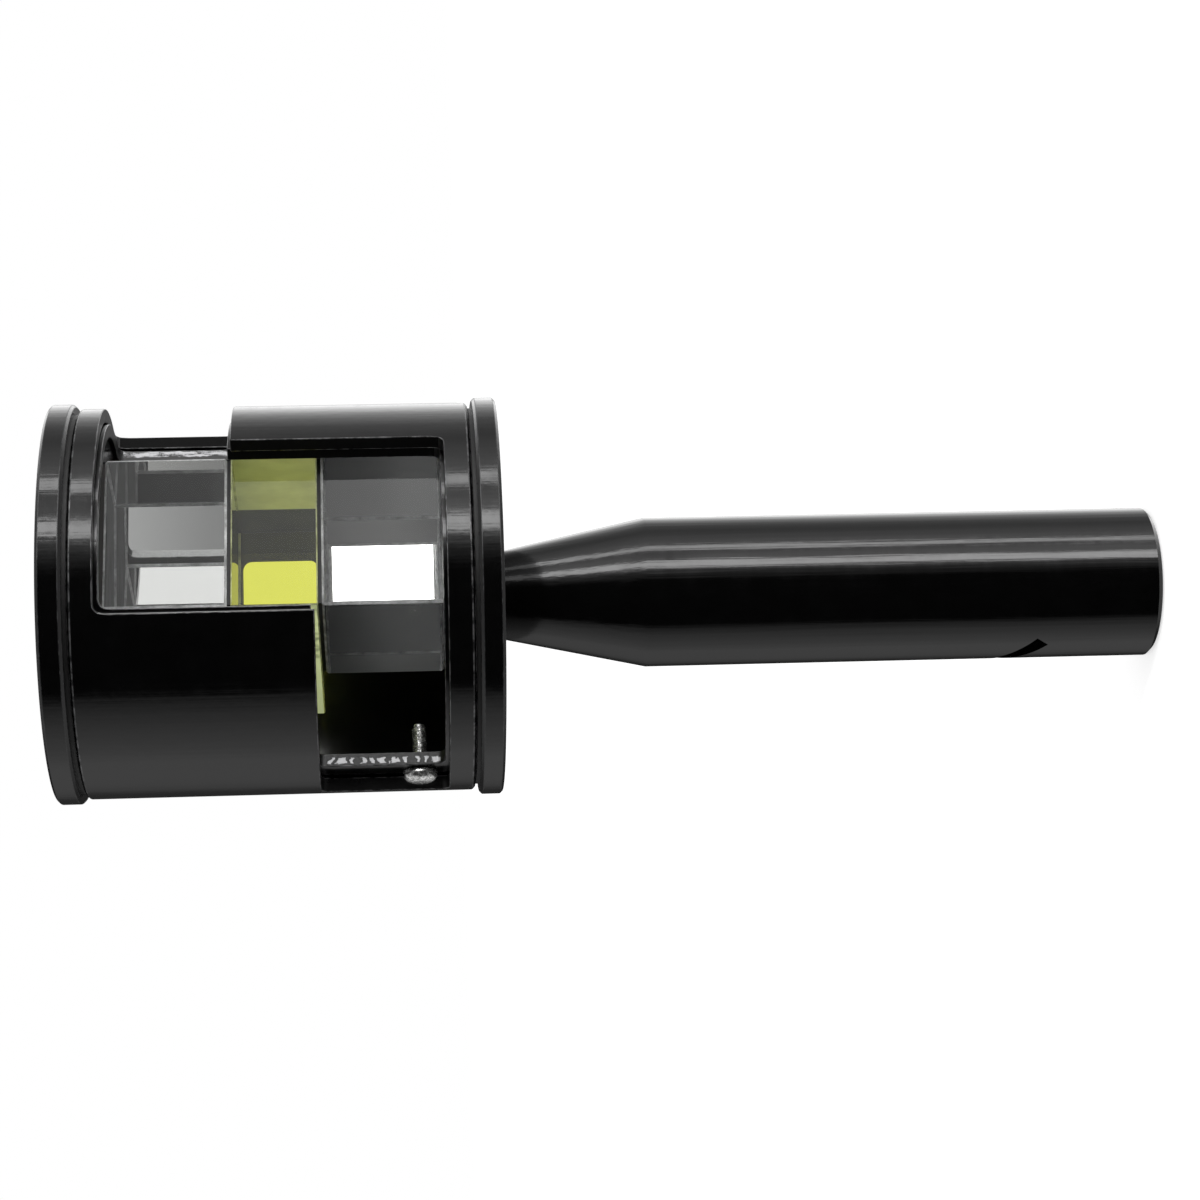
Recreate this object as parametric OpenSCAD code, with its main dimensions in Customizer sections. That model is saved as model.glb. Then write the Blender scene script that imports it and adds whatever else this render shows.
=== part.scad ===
// Optical square: two pentagonal prisms and a sight block stacked in a round head on a hollow handle.
// +Z runs up the handle to the head, the origin is the centre of the handle's open end, and the
// eye side, where all three glass faces lie in one plane, looks along -Y.
// Angles round the head are counted from -Y, and are positive towards +X.

/* [Handle] */
// Diameter of the grip
grip_d = 16; // [15:0.5:18]
// Height of the flange's underside above the handle's open end
handle_l = 70.6; // [66:0.2:80]
// Length of the cone that narrows from the grip to the flange
cone_l = 15.7; // [12:0.1:22]
// Diameter of the cone where it meets the flange
neck_d = 9.3; // [9:0.1:12]
// Diameter of the socket bored up the open end
socket_d = 12; // [10:0.5:12.5]
// Depth of that socket
socket_l = 40; // [30:1:46]
// Size of the bevel round the open end
end_bevel = 0.5; // [0.2:0.1:0.8]
// Height of the slanting slot's middle above the open end
slot_z = 14.8; // [10:0.1:20]
// Distance of the slot's middle from the handle's -X side, towards the rear
slot_rear = 0.9; // [0:0.1:2]
// Length of the slanting slot
slot_l = 7; // [5:0.1:10]
// Width of the slanting slot
slot_w = 1.7; // [1:0.1:2]
// Slant of the slot above the horizontal, in degrees
slot_slant = 40; // [20:1:60]

/* [Head] */
// Outside diameter of the shutter sleeve
head_d = 41.4; // [41:0.1:43]
// How far the cap and the flange stand out past the sleeve
lip = 0.5; // [0.2:0.1:1.2]
// Thickness of the flange's rim
flange_t = 2.5; // [2.5:0.1:4]
// Thickness of the cap's rim
cap_t = 2.6; // [2:0.1:4]
// Depth of the flange's and the cap's spigots inside the body tube
spigot_l = 3.1; // [3.1:0.1:4]
// Wall of the shutter sleeve
sleeve_wall = 1.45; // [1.2:0.05:1.6]
// Wall of the body tube
body_wall = 1.4; // [1.2:0.05:1.5]
// Small bevel on turned outside edges
edge_bevel = 0.3; // [0.1:0.1:0.5]

/* [Glass] */
// Width of a pentagonal prism's two clear faces
prism_face = 17.2; // [14:0.1:17.2]
// Height of each pentagonal prism
prism_h = 12.6; // [11:0.1:14]
// Height of the sight block between them
block_h = 8.9; // [7:0.1:10]
// Depth of the sight block from front to back
block_depth = 27.6; // [20:0.1:28]
// Distance of the front faces from the head's axis
front_dist = 13.9; // [13.5:0.05:14]
// How far the front faces sit off centre, towards +X
face_shift = 1.25; // [0:0.05:1.3]

/* [Windows] */
// Angle of the sight window's edge on the -X side
sight_low = -28.8; // [-32:0.1:-26]
// Angle of the sleeve's sight window's edge on the +X side
sight_high = 27; // [26:0.1:31]
// Angle of the body tube's sight window's edge on the +X side
body_sight_high = 29.7; // [26:0.1:31]
// Angle at which the upper side window of the sleeve ends
sleeve_upper_end = 92.5; // [80:0.5:93]
// Angle at which the upper side window of the body tube ends
upper_end = 93; // [80:0.5:100]
// Angle at which the lower side window of the body tube ends
lower_end = -92.5; // [-93:0.5:-85]
// Angle of the rear sight window's edge on the +X side
rear_from = 155; // [154:0.5:162]
// Angle of the rear sight window's edge on the -X side
rear_to = 200; // [198:0.5:205]
// Corner radius of every window
window_corner = 1; // [0.5:0.1:1.5]
// How much smaller the body tube's windows are than the sleeve's, at each edge
window_step = 0.4; // [0.2:0.1:0.6]

/* [Screws] */
// Angle of the stop screw round the head
stop_angle = -99.8; // [-101:0.1:-99]
// Height of the stop screw above the flange's underside
stop_rise = 8.75; // [8:0.05:10]
// Thread diameter of the small screws
small_screw_d = 2; // [1.6:0.1:2]
// Head diameter of the stop screw
stop_head_d = 3.6; // [3.2:0.1:3.8]
// Head height of the stop screw
stop_head_h = 1.3; // [1:0.1:1.35]
// Length of the stop screw under its head
stop_screw_l = 5; // [3:1:6]
// Thread diameter of the handle screw
handle_screw_d = 4; // [3:1:4]
// Length of the handle screw under its head
handle_screw_l = 16; // [12:2:16]
// Number of set screws at each end of the body tube
set_screw_n = 3; // [2:1:6]

/* [Clearances] */
// Radial gap between the body tube and the sleeve that turns on it
sleeve_gap = 0.2; // [0.1:0.05:0.3]
// Gap at each end of the sleeve, between it and its friction ring
end_gap = 0.05; // [0.05:0.05:0.2]
// Radial gap of a spigot in the body tube
spigot_gap = 0.05; // [0:0.01:0.1]
// Gap between the stop screw's head and the sleeve window's edge at rest
stop_gap = 0.05; // [0.02:0.01:0.2]

/* [Pads and rings] */
// Thickness of the friction rings at the sleeve's ends
ring_t = 0.4; // [0.3:0.05:0.8]
// Radial width of the friction rings
ring_w = 1.05; // [0.8:0.05:1.3]
// Thickness of the pad under the lower prism
seat_pad_t = 0.3; // [0.2:0.05:0.6]
// Thickness of the black separators between the glass pieces
separator_t = 0.35; // [0.2:0.05:0.5]
// Thickness of the pad that the cap presses on the upper prism
clamp_pad_t = 0.4; // [0.3:0.05:1]
// How far pads and separators stay inside the glass outline
pad_inset = 0.3; // [0.1:0.1:0.6]

/* [Hidden] */
$fn = 96;

// Cutting tools run this far past the faces that they cut, and joined shapes this far into each other
over = 0.5;
// A window's rounded corner is milled in flats of this many degrees
corner_facet = 22.5;
// Angles of the windows are rounded to this many degrees
angle_step = 0.01;
// Metal left between windows runs this many degrees past their ends
metal_past = 5;

// Radii of the head, from the outside in
sleeve_r = head_d / 2;
sleeve_bore_r = sleeve_r - sleeve_wall;
body_r = sleeve_bore_r - sleeve_gap;
chamber_r = body_r - body_wall;
rim_r = sleeve_r + lip;
spigot_r = chamber_r - spigot_gap;

// Heights of the glass stack, from the flange up
flange_top = handle_l + flange_t;
seat_z = flange_top + spigot_l;
lower_prism_z = seat_z + seat_pad_t;
lower_separator_z = lower_prism_z + prism_h;
block_z = lower_separator_z + separator_t;
upper_separator_z = block_z + block_h;
upper_prism_z = upper_separator_z + separator_t;
clamp_pad_z = upper_prism_z + prism_h;
cap_spigot_z = clamp_pad_z + clamp_pad_t;
cap_z = cap_spigot_z + spigot_l;

// Ends of the sleeve
sleeve_z = flange_top + ring_t + end_gap;
sleeve_top = cap_z - ring_t - end_gap;

// How far the sleeve's windows reach past the glass stack, below and above
window_below = 0.15;
window_above = 0.45;
// How far the two steps of the window's outline lie inside the sight block's height, below and above
step_low = 0.05;
step_high = 0.15;
// How far the lower side window's top edge lies above that lower step
side_lift = 0.25;

// Heights of the windows in the sleeve
window_low_z = lower_prism_z - window_below;
window_high_z = clamp_pad_z + window_above;
middle_low_z = block_z + step_low;
middle_high_z = upper_separator_z - step_high;

// Sides of the glass, as seen from the eye side
glass_right = prism_face / 2 + face_shift;
glass_left = glass_right - prism_face;

// Length ratios of a pentagonal prism with one right angle and four of 112.5 degrees
long_ratio = sqrt(2);

// The stop screw's head spans this angle on the body tube, and the sleeve window ends just past it
stop_head_half = asin(stop_head_d / 2 / body_r);
stop_gap_angle = stop_gap / body_r * 180 / PI;
sleeve_lower_end = round((stop_angle - stop_head_half - stop_gap_angle) / angle_step) * angle_step;

// Handle screw's head and hexagon socket, in thread diameters
head_ratio = 1.75;
head_height_ratio = 0.65;
socket_ratio = 0.85;
screw_head_r = handle_screw_d * head_ratio / 2;
screw_head_h = handle_screw_d * head_height_ratio;

// Lock washer under that head, and the gap where its ring is split
washer_t = 0.9;
washer_gap = 0.6;

// Both are sunk in the base flange: how far below its top, and the gap round the head
sink_below = 0.2;
sink_gap = 0.25;
sink_floor_z = seat_z - sink_below - screw_head_h - washer_t;
sink_r = screw_head_r + sink_gap;

// The handle is drilled this far past the screw's end
drill_past = 1;

// Headless set screws and their hexagon sockets
set_screw_l = 2.6;
set_socket_d = 0.9;
set_socket_depth = 1;

// Height of the stop screw's head at its shoulder, as a share of the whole
stop_shoulder = 0.85;

// Cross recess in the stop screw's head
recess_l = 2;
recess_w = 0.5;
recess_depth = 0.7;

BLACK = "#1c1c1e";
STEEL = "#b9bbbd";
GLASS = [0.86, 0.92, 0.92, 0.5];
TINTED = [0.80, 0.86, 0.20, 0.6];
PAD = "#26221f";
RING = "#303030";

// Turns the +X direction to an angle counted from -Y
module at_angle(angle) {
    rotate([0, 0, angle - 90]) children();
}

// A sector of a thick tube between two angles and two heights
module sector(inner_r, outer_r, from_angle, to_angle, low_z, high_z) {
    at_angle(from_angle)
        rotate_extrude(angle = to_angle - from_angle)
            translate([inner_r, low_z])
                square([outer_r - inner_r, high_z - low_z]);
}

// Points of a rounded corner, where turn and rise, each 1 or -1, say which way the window lies from it.
// The first and the last flat run on past the corner.
function corner_points(r, turn, rise) = concat(
    [[turn * r * (1 + sin(corner_facet)), rise * r * (cos(corner_facet) - 1)]],
    [for (t = [corner_facet : corner_facet : 90 - corner_facet]) [turn * r * (1 - sin(t)), rise * r * (1 - cos(t))]],
    [[turn * r * (cos(corner_facet) - 1), rise * r * (1 + sin(corner_facet))]]
);

// Metal left in one corner of a window, which rounds it. The corner is at an angle and a height.
module corner_metal(inner_r, outer_r, angle, turn, z, rise) {
    reach = window_corner * 2;
    at_angle(angle)
        translate([inner_r, 0, z])
            rotate([90, 0, 90])
                linear_extrude(outer_r - inner_r)
                    polygon(concat(
                        corner_points(window_corner, turn, rise),
                        [[-turn * over, rise * reach], [-turn * over, -rise * over], [turn * reach, -rise * over]]
                    ));
}

// The corners at both angles of one end of a window
module corner_pair(inner_r, outer_r, from_angle, to_angle, z, rise) {
    corner_metal(inner_r, outer_r, from_angle, 1, z, rise);
    corner_metal(inner_r, outer_r, to_angle, -1, z, rise);
}

// All the windows of one tube. The sight strip towards the eye joins the upper and the lower side
// window, and metal stays above the lower one and below the upper one. The rear window is apart.
// step draws the edges in, for the body tube inside the sleeve, and lifts the lower side window's top edge.
module windows(wall_in, wall_out, lower_angle, upper_angle, high, step) {
    cut_in = wall_in - over;
    cut_out = wall_out + over;
    metal_in = cut_in - over;
    metal_out = cut_out + over;
    low = sight_low + round(step / wall_out * 180 / PI / angle_step) * angle_step;
    bottom_z = window_low_z + step;
    lower_high_z = middle_low_z + side_lift + step;
    upper_low_z = middle_high_z + step;
    top_z = window_high_z - step;
    difference() {
        sector(cut_in, cut_out, lower_angle, upper_angle, bottom_z, top_z);
        sector(metal_in, metal_out, lower_angle - metal_past, low, lower_high_z, top_z + over);
        sector(metal_in, metal_out, high, upper_angle + metal_past, bottom_z - over, upper_low_z);
        corner_pair(metal_in, metal_out, low, upper_angle, top_z, -1);
        corner_pair(metal_in, metal_out, lower_angle, high, bottom_z, 1);
        corner_metal(metal_in, metal_out, upper_angle, -1, upper_low_z, 1);
        corner_metal(metal_in, metal_out, lower_angle, 1, lower_high_z, -1);
    }
    difference() {
        sector(cut_in, cut_out, rear_from, rear_to, middle_low_z + step, middle_high_z);
        corner_pair(metal_in, metal_out, rear_from, rear_to, middle_low_z + step, 1);
        corner_pair(metal_in, metal_out, rear_from, rear_to, middle_high_z, -1);
    }
}

// A disc whose outside edges are bevelled
module bevelled_disc(radius, thickness, bevel) {
    rotate_extrude()
        polygon([
            [0, 0], [radius - bevel, 0], [radius, bevel],
            [radius, thickness - bevel], [radius - bevel, thickness], [0, thickness]
        ]);
}

// The set screws' places round a spigot, at a height
module round_spigot(z) {
    for (i = [0 : set_screw_n - 1])
        at_angle(180 + i * 360 / set_screw_n)
            translate([0, 0, z])
                rotate([0, 90, 0])
                    children();
}

// Threaded holes for the set screws
module set_screw_holes(z) {
    round_spigot(z)
        translate([0, 0, body_r - set_screw_l])
            cylinder(d = small_screw_d, h = set_screw_l + over);
}

// A set of headless screws with square-ended sockets
module set_screws(z) {
    round_spigot(z)
        translate([0, 0, body_r - set_screw_l])
            difference() {
                cylinder(d = small_screw_d, h = set_screw_l);
                translate([0, 0, set_screw_l - set_socket_depth])
                    cylinder(d = set_socket_d, h = set_socket_depth + over, $fn = 6);
            }
}

// Heights of the two rows of set screws
base_set_z = flange_top + spigot_l / 2;
cap_set_z = cap_spigot_z + spigot_l / 2;

// Outline of a pentagonal prism with its entrance face on the left, seen from above.
// The right-angled corner is at the front left.
module prism_outline() {
    a = prism_face;
    polygon([
        [glass_left, -front_dist],
        [glass_right, -front_dist],
        [glass_left + long_ratio * a, a - front_dist],
        [glass_right, long_ratio * a - front_dist],
        [glass_left, a - front_dist]
    ]);
}

// The same outline with its entrance face on the right
module prism_outline_right() {
    translate([glass_left + glass_right, 0])
        mirror([1, 0])
            prism_outline();
}

// A thin pad inside the front part of both prisms' outlines
module pad_outline() {
    translate([glass_left + pad_inset, pad_inset - front_dist])
        square([prism_face - 2 * pad_inset, prism_face - 2 * pad_inset]);
}

// Hollow turned handle: grip, cone, socket, screw hole and the slanting slot in its -X side
module handle() {
    grip_r = grip_d / 2;
    cone_z = handle_l - cone_l;
    color(BLACK)
        difference() {
            rotate_extrude()
                polygon([
                    [0, 0], [grip_r - end_bevel, 0], [grip_r, end_bevel],
                    [grip_r, cone_z], [neck_d / 2, handle_l], [0, handle_l]
                ]);
            translate([0, 0, -over])
                cylinder(d = socket_d, h = socket_l + over);
            translate([0, 0, sink_floor_z + washer_t - handle_screw_l - drill_past])
                cylinder(d = handle_screw_d, h = handle_screw_l + over);
            translate([-grip_r / 2, slot_rear, slot_z])
                rotate([slot_slant, 0, 0])
                    translate([-grip_r / 2 - over, -slot_l / 2, -slot_w / 2])
                        cube([grip_r / 2 + over, slot_l, slot_w]);
        }
}

// Round flange that closes the head below, with the spigot that carries tube and glass
module base_flange() {
    color(BLACK)
        difference() {
            union() {
                translate([0, 0, handle_l])
                    bevelled_disc(rim_r, flange_t, edge_bevel);
                translate([0, 0, flange_top - over])
                    cylinder(r = spigot_r, h = spigot_l + over);
            }
            translate([0, 0, handle_l - over])
                cylinder(d = handle_screw_d, h = seat_z - handle_l + 2 * over);
            translate([0, 0, sink_floor_z])
                cylinder(r = sink_r, h = seat_z - sink_floor_z + over);
            set_screw_holes(base_set_z);
        }
}

// Screw that clamps the handle to the flange from inside the head
module handle_screw() {
    head_z = sink_floor_z + washer_t;
    color(STEEL)
        difference() {
            union() {
                translate([0, 0, head_z])
                    cylinder(r = screw_head_r, h = screw_head_h);
                translate([0, 0, head_z - handle_screw_l])
                    cylinder(d = handle_screw_d, h = handle_screw_l + over);
            }
            translate([0, 0, head_z + screw_head_h / 2])
                cylinder(d = handle_screw_d * socket_ratio, h = screw_head_h, $fn = 6);
        }
}

// Spring lock washer under that screw's head
module lock_washer() {
    color(STEEL)
        translate([0, 0, sink_floor_z])
            difference() {
                cylinder(r = screw_head_r, h = washer_t);
                translate([0, 0, -over])
                    cylinder(d = handle_screw_d, h = washer_t + 2 * over);
                translate([0, -washer_gap / 2, -over])
                    cube([screw_head_r + over, washer_gap, washer_t + 2 * over]);
            }
}

// Fixed tube that holds the glass, windowed towards the eye, both sides and the rear
module body_tube() {
    color(BLACK)
        difference() {
            translate([0, 0, flange_top])
                cylinder(r = body_r, h = cap_z - flange_top);
            translate([0, 0, flange_top - over])
                cylinder(r = chamber_r, h = cap_z - flange_top + 2 * over);
            windows(chamber_r, body_r, lower_end, upper_end, body_sight_high, window_step);
            at_angle(stop_angle)
                translate([0, 0, handle_l + stop_rise])
                    rotate([0, 90, 0])
                        cylinder(d = small_screw_d, h = sleeve_r);
            set_screw_holes(base_set_z);
            set_screw_holes(cap_set_z);
        }
}

// Turning sleeve with the same windows, which covers the glass when it is turned
module shutter_sleeve() {
    length = sleeve_top - sleeve_z;
    color(BLACK)
        difference() {
            translate([0, 0, sleeve_z])
                bevelled_disc(sleeve_r, length, edge_bevel);
            translate([0, 0, sleeve_z - over])
                cylinder(r = sleeve_bore_r, h = length + 2 * over);
            windows(sleeve_bore_r, sleeve_r, sleeve_lower_end, sleeve_upper_end, sight_high, 0);
        }
}

// Cap that closes the head above and presses the glass stack down
module top_cap() {
    color(BLACK)
        difference() {
            union() {
                translate([0, 0, cap_z])
                    bevelled_disc(rim_r, cap_t, edge_bevel);
                translate([0, 0, cap_spigot_z])
                    cylinder(r = spigot_r, h = spigot_l + over);
            }
            set_screw_holes(cap_set_z);
        }
}

// Thin ring that fills the groove between the sleeve's end and a rim
module friction_ring(z) {
    color(RING)
        translate([0, 0, z])
            difference() {
                cylinder(r = body_r + ring_w, h = ring_t);
                translate([0, 0, -over])
                    cylinder(r = body_r, h = ring_t + 2 * over);
            }
}

module lower_friction_ring() {
    friction_ring(flange_top);
}

module upper_friction_ring() {
    friction_ring(cap_z - ring_t);
}

// Soft pad between the flange's spigot and the lower prism
module seat_pad() {
    color(PAD)
        translate([0, 0, seat_z])
            linear_extrude(seat_pad_t)
                pad_outline();
}

// Lower prism, which looks out through the window on the -X side
module lower_prism() {
    color(GLASS)
        translate([0, 0, lower_prism_z])
            linear_extrude(prism_h)
                prism_outline();
}

// Black separator between the lower prism and the sight block
module lower_separator() {
    color(PAD)
        translate([0, 0, lower_separator_z])
            linear_extrude(separator_t)
                pad_outline();
}

// Tinted block for the direct sight straight through the head
module sight_block() {
    color(TINTED)
        translate([glass_left, -front_dist, block_z])
            cube([prism_face, block_depth, block_h]);
}

// Black separator between the sight block and the upper prism
module upper_separator() {
    color(PAD)
        translate([0, 0, upper_separator_z])
            linear_extrude(separator_t)
                pad_outline();
}

// Upper prism, which looks out through the window on the +X side
module upper_prism() {
    color(GLASS)
        translate([0, 0, upper_prism_z])
            linear_extrude(prism_h)
                prism_outline_right();
}

// Soft pad between the upper prism and the cap's spigot
module clamp_pad() {
    color(PAD)
        translate([0, 0, clamp_pad_z])
            linear_extrude(clamp_pad_t)
                pad_outline();
}

// Pan-head screw in the body tube, whose head stops the sleeve at both ends of its turn
module stop_screw() {
    color(STEEL)
        at_angle(stop_angle)
            translate([0, 0, handle_l + stop_rise])
                rotate([0, 90, 0])
                    difference() {
                        translate([0, 0, body_r])
                            rotate_extrude()
                                polygon([
                                    [0, -stop_screw_l], [small_screw_d / 2 - edge_bevel, -stop_screw_l],
                                    [small_screw_d / 2, edge_bevel - stop_screw_l], [small_screw_d / 2, 0],
                                    [stop_head_d / 2, 0], [stop_head_d / 2, stop_head_h / 2],
                                    [stop_head_d / 2 - edge_bevel, stop_head_h * stop_shoulder],
                                    [stop_head_d / 4, stop_head_h], [0, stop_head_h]
                                ]);
                        for (turn = [0, 90])
                            translate([0, 0, body_r + stop_head_h])
                                rotate([0, 0, turn])
                                    cube([recess_l, recess_w, 2 * recess_depth], center = true);
                    }
}

module base_set_screws() {
    color(STEEL)
        set_screws(base_set_z);
}

module cap_set_screws() {
    color(STEEL)
        set_screws(cap_set_z);
}

handle();
base_flange();
handle_screw();
lock_washer();
body_tube();
shutter_sleeve();
top_cap();
lower_friction_ring();
upper_friction_ring();
seat_pad();
lower_prism();
lower_separator();
sight_block();
upper_separator();
upper_prism();
clamp_pad();
stop_screw();
base_set_screws();
cap_set_screws();
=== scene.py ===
"""Optical square: looks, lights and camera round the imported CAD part.

Lengths in the builders below are millimetres in the part's own frame, with +Z up the handle, and
MM turns them into Blender's metres. Angles round the head are counted from -Y, positive towards +X.
"""
import math

import bmesh
import bpy
from mathutils import Matrix, Vector


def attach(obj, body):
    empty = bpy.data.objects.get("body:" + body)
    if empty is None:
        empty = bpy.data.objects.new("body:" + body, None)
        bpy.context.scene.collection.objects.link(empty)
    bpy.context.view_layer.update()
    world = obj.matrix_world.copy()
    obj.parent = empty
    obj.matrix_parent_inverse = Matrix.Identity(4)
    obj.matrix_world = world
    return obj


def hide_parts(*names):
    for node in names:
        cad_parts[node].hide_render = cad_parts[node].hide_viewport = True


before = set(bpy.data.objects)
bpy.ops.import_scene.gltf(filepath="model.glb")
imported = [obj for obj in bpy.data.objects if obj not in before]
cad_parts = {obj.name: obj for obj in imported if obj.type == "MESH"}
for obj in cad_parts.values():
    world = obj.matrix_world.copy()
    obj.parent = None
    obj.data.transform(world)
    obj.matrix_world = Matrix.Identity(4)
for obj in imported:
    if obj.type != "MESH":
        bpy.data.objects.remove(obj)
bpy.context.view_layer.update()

MM = 0.001
SEGMENTS = 180

# The part's sizes
GRIP_R = 8.0
NECK_R = 4.65
GRIP_RINGS = (18.0, 36.0)
CONE_Z = 54.9
HANDLE_L = 70.6
SOCKET_R = 6.0
SOCKET_L = 40.0
MOUTH_BEVEL = 0.5
SCREW_HOLE_R = 2.0
SCREW_HOLE_FROM = 56.4
FLANGE_TOP = 73.1
RECESS_Z = 72.5
RECESS_R = 3.75
SEAT_Z = 76.2
CAP_SPIGOT_Z = 111.7
CAP_Z = 114.8
TOP_Z = 117.4
CAP_RING_R = 10.0
RIM_R = 21.2
RIM_BEVEL = 0.3
SPIGOT_R = 17.6
SLEEVE_R = 20.7
SLEEVE_BORE_R = 19.25
BODY_R = 19.05
CHAMBER_R = 17.65
SLEEVE_Z = (73.55, 114.35)
LOWER_PRISM_Z = (76.5, 89.1)
BLOCK_Z = (89.45, 98.35)
UPPER_PRISM_Z = (98.7, 111.3)
FRONT = -13.9
PRISM_FACE = 17.2
GLASS_LEFT = -7.35
GLASS_RIGHT = 9.85
BLOCK_BACK = 13.7
LACQUER_FROM = 5.3
SILVER_LEAN = math.radians(22.5)
STOP_ANGLE = -99.8
STOP_Z = 79.35

# The slanting slot in the handle
SLOT_PLACE = (-4.0, 0.9, 14.8)
SLOT_SLANT = 40.0
SLOT_L = 7.0
SLOT_W = 1.7
SLOT_DEPTH = 4.5

# The stop screw: its head, the cross in it and its thread
HEAD_R = 1.8
HEAD_H = 1.3
HEAD_SEAT_R = 1.72
HEAD_SIDE_H = 0.42
CROSS_L = 2.3
CROSS_W = 0.62
CROSS_DEPTH = 0.8
CROSS_TURN = 20.0
THREAD_R = 0.8
THREAD_PITCH = 0.35
THREAD_FROM = -5.0
THREAD_TO = 0.05

# Glass pieces stand this far inside their solids, so that no two surfaces coincide
GLASS_SKIN = 0.02
PRISM_BEVEL = 0.25
BLOCK_BEVEL = 0.14
PRISM_INDEX = 1.569
BLOCK_INDEX = 1.517


# Mesh helpers

def new_piece(name, bm, body, node, materials):
    """A piece from a bmesh in millimetres, which stands for a CAD node."""
    bmesh.ops.recalc_face_normals(bm, faces=bm.faces)
    for face in bm.faces:
        face.smooth = True
    mesh = bpy.data.meshes.new(name)
    bm.to_mesh(mesh)
    bm.free()
    mesh.transform(Matrix.Scale(MM, 4))
    for material in materials:
        mesh.materials.append(material)
    piece = bpy.data.objects.new(name, mesh)
    bpy.context.scene.collection.objects.link(piece)
    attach(piece, body)
    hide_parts(node)
    return piece


def soften(piece, width, angle, material):
    """Small real bevels on the sharp edges, whose faces have a material of their own."""
    bevel = piece.modifiers.new("edges", "BEVEL")
    bevel.width = width * MM
    bevel.segments = 2
    bevel.limit_method = "ANGLE"
    bevel.angle_limit = math.radians(angle)
    bevel.harden_normals = True
    bevel.material = material
    bevel.miter_outer = "MITER_ARC"


def lathe(bm, profile, closed=False, segments=SEGMENTS):
    """Turns a profile of (radius, height) points round the Z axis."""
    rings = []
    for radius, z in profile:
        if radius < 1e-6:
            rings.append([bm.verts.new((0, 0, z))])
            continue
        turn = [2 * math.pi * i / segments for i in range(segments)]
        rings.append([bm.verts.new((radius * math.cos(a), radius * math.sin(a), z)) for a in turn])
    pairs = list(zip(rings, rings[1:] + rings[:1])) if closed else list(zip(rings, rings[1:]))
    for low, high in pairs:
        for i in range(segments):
            j = (i + 1) % segments
            corners = [low[i % len(low)], low[j % len(low)], high[j % len(high)], high[i % len(high)]]
            unique = list(dict.fromkeys(corners))
            if len(unique) > 2:
                bm.faces.new(unique)


def cut(piece, cutter_bm):
    """Cuts a closed bmesh, in millimetres, out of a piece."""
    mesh = bpy.data.meshes.new("cutter")
    bmesh.ops.recalc_face_normals(cutter_bm, faces=cutter_bm.faces)
    cutter_bm.to_mesh(mesh)
    cutter_bm.free()
    mesh.transform(Matrix.Scale(MM, 4))
    cutter = bpy.data.objects.new("cutter", mesh)
    bpy.context.scene.collection.objects.link(cutter)
    boolean = piece.modifiers.new("cut", "BOOLEAN")
    boolean.operation = "DIFFERENCE"
    boolean.solver = "EXACT"
    boolean.object = cutter
    bpy.context.view_layer.update()
    depsgraph = bpy.context.evaluated_depsgraph_get()
    result = bpy.data.meshes.new_from_object(piece.evaluated_get(depsgraph))
    piece.modifiers.remove(boolean)
    bpy.data.objects.remove(cutter)
    bpy.data.meshes.remove(mesh)
    old = piece.data
    piece.data = result
    bpy.data.meshes.remove(old)


def on_tube(radius, angle, z):
    """A place round the Z axis, at an angle in degrees from -Y."""
    a = math.radians(angle)
    return (radius * math.sin(a), -radius * math.cos(a), z)


# Windowed tubes

# The windows' corner radius, and the even steps of angle that divide the walls
CORNER = 1.0
WALL_FROM = -120
WALL_STEP = 1.5
WALL_STEPS = 240


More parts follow.
